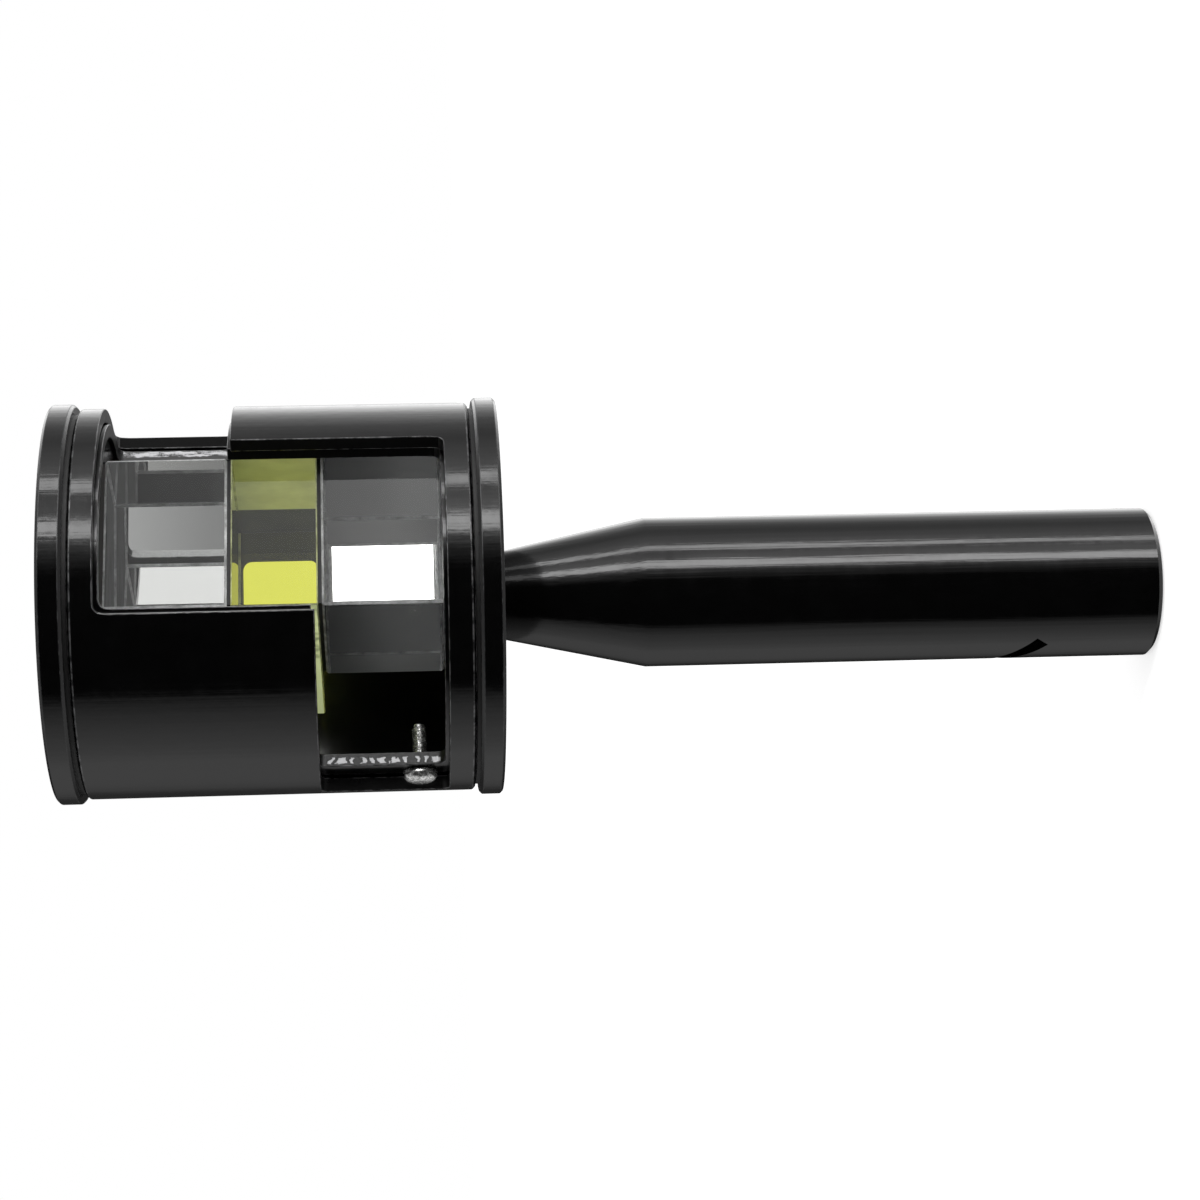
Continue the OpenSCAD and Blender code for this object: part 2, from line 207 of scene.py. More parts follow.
class Windows:
    """The windows of one tube: its front window, its two side windows joined to that, and its rear one.
    Angles are degrees from -Y, and corner arcs are measured at the radius."""

    def __init__(self, radius, low, high, upper_end, lower_end, heights, rear, rear_heights, ends):
        self.radius = radius
        self.low, self.high = low, high
        self.upper_end, self.lower_end = upper_end, lower_end
        self.bottom, self.lower_high, self.upper_low, self.top = heights
        self.rear = rear
        self.rear_bottom, self.rear_top = rear_heights
        self.ends = ends

    def corner_rise(self, angle, corner_angle):
        """How far a rounded corner stands into the window at an angle."""
        away = abs(math.radians(angle - corner_angle)) * self.radius
        if away >= CORNER:
            return 0.0
        return CORNER - math.sqrt(CORNER ** 2 - (CORNER - away) ** 2)

    def holes(self, angle):
        """Bottom and top of each window that the wall has at an angle."""
        out = []
        if self.lower_end < angle < self.upper_end:
            bottom, top = self.bottom, self.top
            if angle < self.low:
                top = self.lower_high - self.corner_rise(angle, self.lower_end)
            else:
                top -= self.corner_rise(angle, self.low) + self.corner_rise(angle, self.upper_end)
            if angle > self.high:
                bottom = self.upper_low + self.corner_rise(angle, self.upper_end)
            else:
                bottom += self.corner_rise(angle, self.lower_end) + self.corner_rise(angle, self.high)
            out.append((bottom, top))
        around = angle % 360
        if self.rear[0] < around < self.rear[1]:
            rise = self.corner_rise(around, self.rear[0]) + self.corner_rise(around, self.rear[1])
            out.append((self.rear_bottom + rise, self.rear_top - rise))
        return out

    def metal(self, angle):
        """Bottom and top of each stretch of wall between the windows at an angle."""
        z = self.ends[0]
        out = []
        for bottom, top in self.holes(angle):
            out.append((z, bottom))
            z = top
        out.append((z, self.ends[1]))
        return out

    def angles(self):
        """Where the wall is divided: evenly, at the windows' edges, and closely in their corners."""
        found = {round(WALL_FROM + WALL_STEP * i, 4) for i in range(WALL_STEPS)}
        edges = [
            (self.lower_end, 1), (self.low, 1), (self.high, -1), (self.upper_end, -1),
            (self.rear[0], 1), (self.rear[1], -1),
        ]
        for edge, turn in edges:
            for step in range(0, 91, 15):
                away = CORNER * (1 - math.cos(math.radians(step)))
                found.add(round(edge + turn * math.degrees(away / self.radius), 4))
        kept = []
        for angle in sorted(found):
            exact = any(abs(angle - edge) < 1e-3 for edge, _ in edges)
            if kept and angle - kept[-1] < 0.05:
                if not exact:
                    continue
                kept.pop()
            kept.append(angle)
        return kept


def windowed_tube(bm, windows, r_in, r_out, chamfer):
    """A thick tube with windows. Its turned ends may be chamfered outside. Returns the windows' sides."""
    angles = windows.angles()
    n = len(angles)
    tiny = 1e-5
    z_low, z_high = windows.ends
    left = [windows.metal(a + tiny) for a in angles]
    right = [windows.metal(angles[(i + 1) % n] + (360 if i == n - 1 else 0) - tiny) for i in range(n)]
    levels = []
    for i in range(n):
        found = set()
        for spans in (left[i], right[i - 1]):
            for low, high in spans:
                found.update((round(low, 4), round(high, 4)))
        levels.append(sorted(found))

    verts = {}

    def vert(i, z, kind):
        key = (i % n, round(z, 4), kind)
        if key not in verts:
            radius, height = r_out, z
            if kind == "in":
                radius = r_in
            elif kind == "rim":
                radius = r_out - chamfer
            elif abs(z - z_low) < 1e-6:
                height = z + chamfer
            elif abs(z - z_high) < 1e-6:
                height = z - chamfer
            verts[key] = bm.verts.new(on_tube(radius, angles[i % n], height))
        return verts[key]

    edges = {}
    for i in range(n):
        for (l_low, l_high), (r_low, r_high) in zip(left[i], right[i]):
            going_up = [(i + 1, z) for z in levels[(i + 1) % n] if r_low - 1e-3 < z < r_high + 1e-3]
            going_down = [(i, z) for z in reversed(levels[i]) if l_low - 1e-3 < z < l_high + 1e-3]
            loop = [(k % n, z) for k, z in going_up + going_down]
            bm.faces.new([vert(k, z, "out") for k, z in loop])
            bm.faces.new([vert(k, z, "in") for k, z in reversed(loop)])
            for a, b in zip(loop, loop[1:] + loop[:1]):
                edges[(a, b)] = True
    sides = []
    for a, b in edges:
        if (b, a) in edges:
            continue
        at_end = a[1] == b[1] and (abs(a[1] - z_low) < 1e-6 or abs(a[1] - z_high) < 1e-6)
        if at_end and chamfer:
            bm.faces.new([vert(*b, "out"), vert(*a, "out"), vert(*a, "rim"), vert(*b, "rim")])
            bm.faces.new([vert(*b, "rim"), vert(*a, "rim"), vert(*a, "in"), vert(*b, "in")])
            continue
        face = bm.faces.new([vert(*b, "out"), vert(*a, "out"), vert(*a, "in"), vert(*b, "in")])
        if not at_end:
            sides.append(face)
    return sides


# Threads and screw heads

def thread(bm, major_r, pitch, z_low, z_high):
    """A screw thread up the Z axis: a core and a V-shaped ridge that runs in and out at its ends."""
    around = 24
    # A metric thread is 0.61 of its pitch deep. The ridge's foot stands a little inside the core
    minor_r = major_r - 0.61 * pitch
    root_r = minor_r - 0.02
    core = [
        (0, z_low), (minor_r * 0.8, z_low), (minor_r, z_low + minor_r * 0.2),
        (minor_r, z_high), (0, z_high),
    ]
    lathe(bm, core, segments=around)
    steps = int((z_high - z_low - pitch) / pitch * around)
    rows = []
    for i in range(steps + 1):
        a = 2 * math.pi * i / around
        fade = min(1.0, i / around, (steps - i) / around)
        crest = root_r + (major_r - root_r) * fade
        z = z_low + pitch / 2 + i * pitch / around
        foot, top = pitch * 0.48, pitch * 0.07
        places = [(root_r, z - foot), (crest, z - top), (crest, z + top), (root_r, z + foot)]
        rows.append([bm.verts.new((r * math.cos(a), r * math.sin(a), h)) for r, h in places])
    for one, two in zip(rows, rows[1:]):
        for k in range(4):
            m = (k + 1) % 4
            bm.faces.new([one[k], one[m], two[m], two[k]])
    bm.faces.new(rows[0])
    bm.faces.new(rows[-1])


def cross_cutter(top_z, length, width, depth):
    """A cross recess whose four wings narrow towards its bottom."""
    bm = bmesh.new()
    for turned in (False, True):
        corners = []
        for z, share in ((top_z + 0.4, 1.15), (top_z - depth, 0.45)):
            half_l, half_w = length / 2 * share, width / 2 * (0.7 + 0.3 * share)
            for x, y in ((-half_l, -half_w), (half_l, -half_w), (half_l, half_w), (-half_l, half_w)):
                corners.append(bm.verts.new((y, x, z) if turned else (x, y, z)))
        top, bottom = corners[:4], corners[4:]
        bm.faces.new(top)
        bm.faces.new(bottom)
        for k in range(4):
            m = (k + 1) % 4
            bm.faces.new([top[k], top[m], bottom[m], bottom[k]])
    return bm


# Materials

def node_material(name):
    """A new material, its node tree and its main shader."""
    material = bpy.data.materials.new(name)
    material.use_nodes = True
    nodes = material.node_tree.nodes
    return material, material.node_tree, nodes["Principled BSDF"]


class Graph:
    """Short calls for a node tree. Positions are in millimetres of the part's own frame."""

    def __init__(self, tree):
        self.tree = tree
        self.made = {}

    def node(self, kind, **settings):
        n = self.tree.nodes.new(kind)
        for key, value in settings.items():
            setattr(n, key, value)
        return n

    def link(self, source, target):
        self.tree.links.new(source, target)

    def math(self, operation, *values):
        n = self.node("ShaderNodeMath", operation=operation)
        for socket, value in zip(n.inputs, values):
            if isinstance(value, (int, float)):
                socket.default_value = value
            else:
                self.link(value, socket)
        return n.outputs[0]

    def times(self, *values):
        """The product of two or more values."""
        product = values[0]
        for value in values[1:]:
            product = self.math("MULTIPLY", product, value)
        return product

    def most(self, *values):
        """The greatest of two or more values."""
        greatest = values[0]
        for value in values[1:]:
            greatest = self.math("MAXIMUM", greatest, value)
        return greatest

    def place(self):
        """x, y, z in millimetres, and the distance from the Z axis."""
        if not self.made:
            coords = self.node("ShaderNodeTexCoord")
            apart = self.node("ShaderNodeSeparateXYZ")
            self.link(coords.outputs["Object"], apart.inputs[0])
            x, y, z = [self.times(apart.outputs[k], 1 / MM) for k in range(3)]
            r = self.math("SQRT", self.math("ADD", self.times(x, x), self.times(y, y)))
            self.made = {"x": x, "y": y, "z": z, "r": r}
        return self.made

    def vector(self, *values):
        n = self.node("ShaderNodeCombineXYZ")
        for socket, value in zip(n.inputs, values):
            if isinstance(value, (int, float)):
                socket.default_value = value
            else:
                self.link(value, socket)
        return n.outputs[0]

    def scaled(self, x, y, z):
        """Coordinates for a noise that is as fine along each axis as its number says."""
        p = self.place()
        return self.vector(self.times(p["x"], x), self.times(p["y"], y), self.times(p["z"], z))

    def turned(self, across, around):
        """Coordinates whose noise makes lathe lines: rings on flat faces and hoops on round ones."""
        p = self.place()
        rise = self.math("ADD", p["z"], p["r"])
        return self.vector(self.times(p["x"], around), self.times(p["y"], around), self.times(rise, across))

    def even(self, scale):
        """Coordinates for a noise that is as fine in all directions."""
        return self.scaled(scale, scale, scale)

    def noise(self, vector, detail=2.0, roughness=0.5):
        n = self.node("ShaderNodeTexNoise")
        n.inputs["Scale"].default_value = 1.0
        n.inputs["Detail"].default_value = detail
        n.inputs["Roughness"].default_value = roughness
        self.link(vector, n.inputs["Vector"])
        return n.outputs["Fac"]

    def spread(self, value, low, high, to_low, to_high):
        """Maps low...high to to_low...to_high, and holds the ends beyond."""
        n = self.node("ShaderNodeMapRange")
        n.clamp = True
        ends = {"From Min": low, "From Max": high, "To Min": to_low, "To Max": to_high}
        for name, number in ends.items():
            n.inputs[name].default_value = number
        self.link(value, n.inputs["Value"])
        return n.outputs["Result"]

    def blend(self, factor, one, two):
        """A colour between one, where the factor is 0, and two, where it is 1."""
        n = self.node("ShaderNodeMix", data_type="RGBA")
        n.clamp_factor = True
        self.link(factor, n.inputs["Factor"])
        for socket, colour in ((n.inputs[6], one), (n.inputs[7], two)):
            if isinstance(colour, tuple):
                socket.default_value = (*colour, 1.0)
            else:
                self.link(colour, socket)
        return n.outputs[2]

    def bump(self, height, distance, under=None):
        """A surface raised by a height of 0 to 1 times a distance in millimetres."""
        n = self.node("ShaderNodeBump")
        n.inputs["Strength"].default_value = 1.0
        n.inputs["Distance"].default_value = distance * MM
        self.link(height, n.inputs["Height"])
        if under is not None:
            self.link(under, n.inputs["Normal"])
        return n.outputs["Normal"]


def anodised(name, dark, light, rough, mottle, lines, streaks):
    """Black anodised aluminium: fine hoops off the lathe, polishing streaks along it and faint haze."""
    material, tree, shader = node_material(name)
    g = Graph(tree)
    hoops = g.noise(g.turned(9.0, 0.10), detail=3.0, roughness=0.7)
    drift = g.noise(g.turned(0.9, 0.12), detail=2.0)
    polish = g.noise(g.scaled(1.6, 1.6, 0.03), detail=3.0, roughness=0.6)
    haze = g.noise(g.even(0.35), detail=4.0, roughness=0.6)
    darker = (dark, dark, dark * 1.05)
    lighter = (light, light, light * 1.06)
    colour = g.blend(g.spread(haze, 0.35, 0.75, 0.0, 1.0), darker, lighter)
    g.link(colour, shader.inputs["Base Color"])
    base = g.spread(g.times(g.math("ADD", drift, polish), 0.5), 0.35, 0.65, rough[0], rough[1])
    g.link(g.math("ADD", base, g.spread(haze, 0.5, 0.8, 0.0, 0.05)), shader.inputs["Roughness"])
    fine = g.bump(hoops, lines)
    along = g.bump(polish, streaks, under=fine)
    broad = g.bump(g.noise(g.even(0.8), detail=2.0), mottle, under=along)
    g.link(broad, shader.inputs["Normal"])
    shader.inputs["IOR"].default_value = 1.52
    return material


def milled_black(name, teeth, band):
    """A window's milled side. In a band of radii its anodising is thin: chatter marks, or streaks."""
    material, tree, shader = node_material(name)
    g = Graph(tree)
    p = g.place()
    drift = g.noise(g.even(0.9), detail=3.0)
    if teeth:
        marks = g.math("SINE", g.math("ADD", g.times(p["z"], 5.6), g.times(drift, 14.0)))
        marks = g.math("ADD", g.times(marks, 0.5), 0.5)
        thin_from, thin_to = 0.50, 0.66
    else:
        marks = g.noise(g.scaled(2.2, 2.2, 0.55), detail=3.0, roughness=0.6)
        thin_from, thin_to = 0.40, 0.54
    grit = g.noise(g.even(5.0), detail=3.0, roughness=0.7)
    both = g.math("ADD", g.times(marks, 0.7), g.times(grit, 0.3))
    wander = g.math("ADD", p["r"], g.times(g.math("SUBTRACT", drift, 0.5), 0.5))
    blur = 0.04
    inner = g.spread(wander, band[0] - blur, band[0] + blur, 0.0, 1.0)
    outer = g.spread(wander, band[1] - blur, band[1] + blur, 1.0, 0.0)
    bright = g.times(g.spread(both, thin_from, thin_to, 0.0, 1.0), inner, outer)
    g.link(g.blend(bright, (0.006, 0.006, 0.006), (0.42, 0.42, 0.43)), shader.inputs["Base Color"])
    g.link(g.times(bright, 0.5), shader.inputs["Metallic"])
    g.link(g.spread(grit, 0.3, 0.7, 0.30, 0.5), shader.inputs["Roughness"])
    g.link(g.bump(both, 0.03), shader.inputs["Normal"])
    return material


def worn_edge(name, bare_value, share):
    """Anodising rubbed thin along an edge, so that the aluminium shows in patches."""
    material, tree, shader = node_material(name)
    g = Graph(tree)
    rub = g.noise(g.even(0.9), detail=5.0, roughness=0.65)
    bare = g.spread(rub, share, share + 0.18, 0.0, 1.0)
    worn = (bare_value, bare_value, bare_value * 1.02)
    g.link(g.blend(bare, (0.010, 0.010, 0.0105), worn), shader.inputs["Base Color"])
    g.link(g.times(bare, 0.7), shader.inputs["Metallic"])
    g.link(g.spread(rub, 0.3, 0.7, 0.22, 0.4), shader.inputs["Roughness"])
    return material


def steel(name):
    """Bright screw steel with a fine grain and small knocks."""
    material, tree, shader = node_material(name)
    g = Graph(tree)
    grain = g.noise(g.even(3.0), detail=4.0, roughness=0.6)
    knocks = g.spread(grain, 0.42, 0.58, 0.0, 1.0)
    g.link(g.blend(knocks, (0.42, 0.42, 0.41), (0.97, 0.97, 0.96)), shader.inputs["Base Color"])
    shader.inputs["Metallic"].default_value = 0.9
    g.link(g.spread(grain, 0.3, 0.7, 0.12, 0.30), shader.inputs["Roughness"])
    g.link(g.bump(grain, 0.01), shader.inputs["Normal"])
    return material


def soft_black(name, colour, rough, grain, depth, sheen=0.5):
    """Black plastic, rubber or lacquer with a fine grain, given per millimetre."""
    material, tree, shader = node_material(name)
    g = Graph(tree)
    grit = g.noise(g.even(grain), detail=3.0, roughness=0.6)
    lighter = tuple(c * 1.8 for c in colour)
    g.link(g.blend(g.spread(grit, 0.3, 0.7, 0.0, 1.0), colour, lighter), shader.inputs["Base Color"])
    g.link(g.spread(grit, 0.3, 0.7, rough - 0.08, rough + 0.08), shader.inputs["Roughness"])
    g.link(g.bump(grit, depth), shader.inputs["Normal"])
    shader.inputs["Specular IOR Level"].default_value = sheen
    return material


def polished_glass(name, colour, index):
    """Polished glass, with the faintest wipe marks in its gloss."""
    material, tree, shader = node_material(name)
    g = Graph(tree)
    shader.inputs["Transmission Weight"].default_value = 1.0
    shader.inputs["IOR"].default_value = index
    wipe = g.noise(g.scaled(0.5, 0.5, 1.5), detail=3.0)
    g.link(g.spread(wipe, 0.55, 0.8, 0.0, 0.012), shader.inputs["Roughness"])
    tint = tuple(c * 0.985 for c in colour)
    g.link(g.blend(g.spread(wipe, 0.3, 0.7, 0.0, 1.0), colour, tint), shader.inputs["Base Color"])
    return material


def ground_glass(name, colour, index):
    """A fine-ground bevel on glass: it scatters the light, and looks pale."""
    material, tree, shader = node_material(name)
    g = Graph(tree)
    grain = g.noise(g.even(14.0), detail=3.0, roughness=0.7)
    # Lighter patches: chips in the bevel, partly painted glints that the chips would throw
    chip_glints = g.noise(g.even(0.7), detail=5.0, roughness=0.7)
    both = g.math("ADD", g.times(grain, 0.4), g.times(chip_glints, 0.6))
    dull = tuple(c * 0.35 for c in colour)
    g.link(g.blend(g.spread(both, 0.42, 0.60, 0.0, 1.0), dull, colour), shader.inputs["Base Color"])
    shader.inputs["Transmission Weight"].default_value = 0.45
    shader.inputs["IOR"].default_value = index
    g.link(g.spread(grain, 0.3, 0.7, 0.45, 0.65), shader.inputs["Roughness"])
    g.link(g.bump(grain, 0.006), shader.inputs["Normal"])
    return material


def matt_glass(name, colour, gloss=0.0, painted_glow=0.0, mottled_to=None):
    """A coarsely ground glass face, pale from inside the glass and from outside. Gloss is its sheen at a
    slant, and the glow is painted light, an emission standing in for the light that the glass guides to it.
    Up to a depth the glow can be mottled."""
    material, tree, shader = node_material(name)
    g = Graph(tree)
    cloud = g.noise(g.even(0.25), detail=3.0)
    grain = g.noise(g.even(9.0), detail=3.0, roughness=0.7)
    dull = tuple(c * 0.8 for c in colour)
    g.link(g.blend(g.spread(cloud, 0.35, 0.65, 0.0, 1.0), dull, colour), shader.inputs["Base Color"])
    rough = 0.42 if gloss else 0.6
    g.link(g.spread(grain, 0.3, 0.7, rough - 0.06, rough + 0.06), shader.inputs["Roughness"])
    shader.inputs["Specular IOR Level"].default_value = gloss
    g.link(g.bump(grain, 0.004), shader.inputs["Normal"])
    # Painted light: the face emits its own colour in place of the light that the glass scatters to it
    shader.inputs["Emission Color"].default_value = (*colour, 1.0)
    shader.inputs["Emission Strength"].default_value = painted_glow
    if mottled_to is not None:
        # The painted glow is patchy in front of the given depth and at least full behind it, so it is
        # brighter towards the rear
        patches = g.noise(g.even(0.6), detail=4.0, roughness=0.6)
        glow_spots = g.spread(patches, 0.42, 0.62, 0.15, 1.2)
        depth = g.spread(g.place()["y"], mottled_to - 0.2, mottled_to + 0.2, 0.0, 1.0)
        g.link(g.times(g.most(glow_spots, depth), painted_glow), shader.inputs["Emission Strength"])
    return material


def coated_back(name, inner_colour, inner_rough):
    """A coated face of a prism: through the glass it's silver or black, and from behind it's lacquered."""
    material, tree, outside = node_material(name)
    g = Graph(tree)
    grain = g.noise(g.even(2.5), detail=4.0, roughness=0.6)
    lacquer = g.blend(g.spread(grain, 0.3, 0.7, 0.0, 1.0), (0.012, 0.012, 0.012), (0.03, 0.029, 0.028))
    g.link(lacquer, outside.inputs["Base Color"])
    g.link(g.spread(grain, 0.3, 0.7, 0.4, 0.6), outside.inputs["Roughness"])
    inside = g.node("ShaderNodeBsdfPrincipled")
    inside.inputs["Base Color"].default_value = (*inner_colour, 1.0)
    inside.inputs["Metallic"].default_value = 1.0
    inside.inputs["Roughness"].default_value = inner_rough
    side = g.node("ShaderNodeNewGeometry")
    mix = g.node("ShaderNodeMixShader")
    output = tree.nodes["Material Output"]
    g.link(side.outputs["Backfacing"], mix.inputs[0])
    g.link(outside.outputs[0], mix.inputs[1])
    g.link(inside.outputs[0], mix.inputs[2])
    g.link(mix.outputs[0], output.inputs["Surface"])
    return material


handle_black = anodised(
    "handle_black", dark=0.0009, light=0.0015, rough=(0.08, 0.16),
    mottle=0.004, lines=0.0012, streaks=0.018,
)
head_black = anodised(
    "head_black", dark=0.0009, light=0.0016, rough=(0.09, 0.16),
    mottle=0.012, lines=0.0020, streaks=0.014,
)
inner_black = anodised(
    "inner_black", dark=0.006, light=0.010, rough=(0.32, 0.42),
    mottle=0.010, lines=0.0030, streaks=0.002,
)
cut_black = anodised(
    "cut_black", dark=0.0025, light=0.006, rough=(0.26, 0.38),
    mottle=0.020, lines=0.0060, streaks=0.002,
)
milled_streaks = milled_black("milled_streaks", teeth=False, band=(18.25, 18.90))
cut_dull = soft_black("cut_dull", (0.002, 0.002, 0.002), rough=0.5, grain=4.0, depth=0.01, sheen=0.06)
# Painted reflection: the windows' low cut sides are a mid grey in place of the light they would mirror
cut_painted_reflection = soft_black("cut_painted_reflection", (0.24, 0.24, 0.24), rough=0.5, grain=4.0, depth=0.01)
milled_teeth = milled_black("milled_teeth", teeth=True, band=(18.15, 18.80))
edge_wear = worn_edge("worn_edge", bare_value=0.17, share=0.46)
rim_wear = worn_edge("rim_edge", bare_value=0.07, share=0.50)
bright_steel = steel("bright_steel")
# Painted shade: a near-black finish for the screw's cross recess, where the steel only lies in shade
recess_painted_shade = soft_black("recess_painted_shade", (0.012, 0.012, 0.012), rough=0.5, grain=4.0, depth=0.01)
ring_plastic = soft_black("ring_plastic", (0.010, 0.010, 0.010), rough=0.55, grain=3.0, depth=0.01)
pad_rubber = soft_black("pad_rubber", (0.014, 0.013, 0.012), rough=0.75, grain=5.0, depth=0.02)
black_mask = soft_black("black_mask", (0.004, 0.004, 0.004), rough=0.65, grain=6.0, depth=0.006)
clear_glass = polished_glass("clear_glass", (0.970, 0.985, 0.980), PRISM_INDEX)
tinted_glass = polished_glass("tinted_glass", (0.90, 0.92, 0.45), BLOCK_INDEX)
tinted_rear = polished_glass("tinted_rear", (0.544, 0.563, 0.0125), BLOCK_INDEX)
clear_ground = ground_glass("clear_ground", (0.95, 0.96, 0.96), PRISM_INDEX)
tinted_ground = ground_glass("tinted_ground", (0.86, 0.90, 0.52), BLOCK_INDEX)
silvered = coated_back("silvered_back", (0.93, 0.93, 0.92), inner_rough=0.0)
blackened = coated_back("blackened_back", (0.18, 0.18, 0.18), inner_rough=0.38)
ground_end = matt_glass("ground_end", (0.24, 0.24, 0.24))
tinted_side = matt_glass("tinted_side", (0.85, 0.87, 0.88), gloss=0.6)
side_lacquer = matt_glass("side_lacquer", (0.06, 0.06, 0.06))
# The block's -X face: pale yellow ground glass with a painted glow, patchy in front of y = -1 mm
open_side_painted_glow = matt_glass("open_side_painted_glow", (0.90, 1.0, 0.50), painted_glow=0.34, mottled_to=-1.0)


# Turned pieces

bm = bmesh.new()
lathe(bm, [
    (0, SOCKET_L), (SOCKET_R, SOCKET_L), (SOCKET_R, 0), (GRIP_R - MOUTH_BEVEL, 0), (GRIP_R, MOUTH_BEVEL),
    (GRIP_R, GRIP_RINGS[0]), (GRIP_R, GRIP_RINGS[1]), (GRIP_R, CONE_Z), (NECK_R, HANDLE_L),
    (SCREW_HOLE_R, HANDLE_L), (SCREW_HOLE_R, SCREW_HOLE_FROM), (0, SCREW_HOLE_FROM),
])
handle = new_piece("handle_body", bm, "instrument", "handle", [handle_black, edge_wear])
slot = bmesh.new()
bmesh.ops.create_cube(slot, size=1.0)
turned = Matrix.Translation(SLOT_PLACE) @ Matrix.Rotation(math.radians(SLOT_SLANT), 4, "X")
outwards = Matrix.Translation((-SLOT_DEPTH / 2, 0, 0))
slot.transform(turned @ outwards @ Matrix.Diagonal((SLOT_DEPTH, SLOT_L, SLOT_W, 1)))
cut(handle, slot)
soften(handle, 0.10, 30, material=1)

bm = bmesh.new()
lathe(bm, [
    (SCREW_HOLE_R, HANDLE_L), (RIM_R - RIM_BEVEL, HANDLE_L), (RIM_R, HANDLE_L + RIM_BEVEL),
    (RIM_R, FLANGE_TOP - RIM_BEVEL), (RIM_R - RIM_BEVEL, FLANGE_TOP), (SPIGOT_R, FLANGE_TOP),
    (SPIGOT_R, SEAT_Z), (RECESS_R, SEAT_Z), (RECESS_R, RECESS_Z), (SCREW_HOLE_R, RECESS_Z),
], closed=True)
flange = new_piece("flange_body", bm, "instrument", "base_flange", [head_black, rim_wear])
soften(flange, 0.07, 30, material=1)

bm = bmesh.new()
lathe(bm, [
    (0, CAP_SPIGOT_Z), (SPIGOT_R, CAP_SPIGOT_Z), (SPIGOT_R, CAP_Z), (RIM_R - RIM_BEVEL, CAP_Z),
    (RIM_R, CAP_Z + RIM_BEVEL), (RIM_R, TOP_Z - RIM_BEVEL), (RIM_R - RIM_BEVEL, TOP_Z),
    (CAP_RING_R, TOP_Z), (0, TOP_Z),
])
cap = new_piece("cap_body", bm, "instrument", "top_cap", [head_black, rim_wear])
soften(cap, 0.07, 30, material=1)


# The two windowed tubes

def paint_sides(sides, by_angle):
    """Gives the windows' side faces material 1, or the material that is listed for their angle."""
    for face in sides:
        middle = face.calc_center_median()
        angle = math.degrees(math.atan2(middle.x, -middle.y))
        face.material_index = 1
        for edge, index in by_angle.items():
            if abs(angle - edge) < 0.5:
                face.material_index = index


bm = bmesh.new()
sleeve_windows = Windows(
    radius=19.98, low=-28.8, high=27.0, upper_end=92.5, lower_end=-105.37,
    heights=(76.35, 89.75, 98.2, 111.75), rear=(155, 200), rear_heights=(89.5, 98.2),
    ends=SLEEVE_Z,
)
sides = windowed_tube(bm, sleeve_windows, SLEEVE_BORE_R, SLEEVE_R, RIM_BEVEL)
paint_sides(sides, {sleeve_windows.low: 3, sleeve_windows.upper_end: 4, sleeve_windows.high: 4})
sleeve_finishes = [head_black, cut_black, edge_wear, cut_painted_reflection, cut_dull]
sleeve = new_piece("sleeve_body", bm, "shutter", "shutter_sleeve", sleeve_finishes)
soften(sleeve, 0.10, 35, material=2)

bm = bmesh.new()
body_windows = Windows(
    radius=18.35, low=-27.6, high=29.7, upper_end=93.0, lower_end=-92.5,
    heights=(76.75, 90.15, 98.6, 111.35), rear=(155, 200), rear_heights=(89.9, 98.2),
    ends=(FLANGE_TOP, CAP_Z),
)
sides = windowed_tube(bm, body_windows, CHAMBER_R, BODY_R, 0)
# The chamber's wall has the duller inner finish
for face in bm.faces:
    middle = face.calc_center_median()
    if math.hypot(middle.x, middle.y) < CHAMBER_R + 0.05:
        face.material_index = 3
paint_sides(sides, {
    body_windows.upper_end: 4, body_windows.lower_end: 5, body_windows.low: 6, body_windows.high: 7,
})
tube_finishes = [
    head_black, cut_black, edge_wear, inner_black, milled_streaks, milled_teeth, cut_painted_reflection, cut_dull,
]
tube = new_piece("tube_body", bm, "instrument", "body_tube", tube_finishes)
soften(tube, 0.08, 35, material=2)


# Screws

def upright_at(angle, radius, z):
    """Turns a screw built up the Z axis so that its head looks outwards from the tube."""
    a = math.radians(angle)
    out = Vector((math.sin(a), -math.cos(a), 0))
    up = Vector((0, 0, 1))
    across = up.cross(out)
    turned = Matrix((across, up, out)).transposed().to_4x4()
    return Matrix.Translation(out * radius + up * z) @ turned


bm = bmesh.new()
dome = []
for t in range(0, 90, 10):
    rise = (HEAD_H - HEAD_SIDE_H) * math.sin(math.radians(t))
    dome.append((HEAD_R * math.cos(math.radians(t)) ** 0.6, HEAD_SIDE_H + rise))
lathe(bm, [(0, 0), (HEAD_SEAT_R, 0), (HEAD_R, HEAD_R - HEAD_SEAT_R)] + dome + [(0, HEAD_H)], segments=64)
stop_screw = new_piece("stop_screw_body", bm, "instrument", "stop_screw", [bright_steel])
cut(stop_screw, cross_cutter(HEAD_H, CROSS_L, CROSS_W, CROSS_DEPTH))
stop_screw.data.materials.append(recess_painted_shade)
bm = bmesh.new()
bm.from_mesh(stop_screw.data)
bm.transform(Matrix.Scale(1 / MM, 4))
# The faces inside the cross get a near-black finish: painted shade in the recess
for face in bm.faces:
    middle = face.calc_center_median()
    if math.hypot(middle.x, middle.y) < 1.25 and 0.3 < middle.z < 1.14:
        face.material_index = 1
thread(bm, THREAD_R, THREAD_PITCH, THREAD_FROM, THREAD_TO)
bm.transform(upright_at(STOP_ANGLE, BODY_R, STOP_Z) @ Matrix.Rotation(math.radians(CROSS_TURN), 4, "Z"))
bm.transform(Matrix.Scale(MM, 4))
bm.to_mesh(stop_screw.data)
bm.free()


# Glass

def inset_outline(points, distance):
    """Moves each side of a convex outline, given anticlockwise, inwards."""
    lines = []
    for p, q in zip(points, points[1:] + points[:1]):
        direction = (q - p).normalized()
        inward = Vector((-direction.y, direction.x))
        lines.append((p + inward * distance, direction))
    moved = []
    for (p, d), (q, e) in zip(lines[-1:] + lines[:-1], lines):
        t = (q - p).cross(e) / d.cross(e)
        moved.append(p + d * t)
    return moved


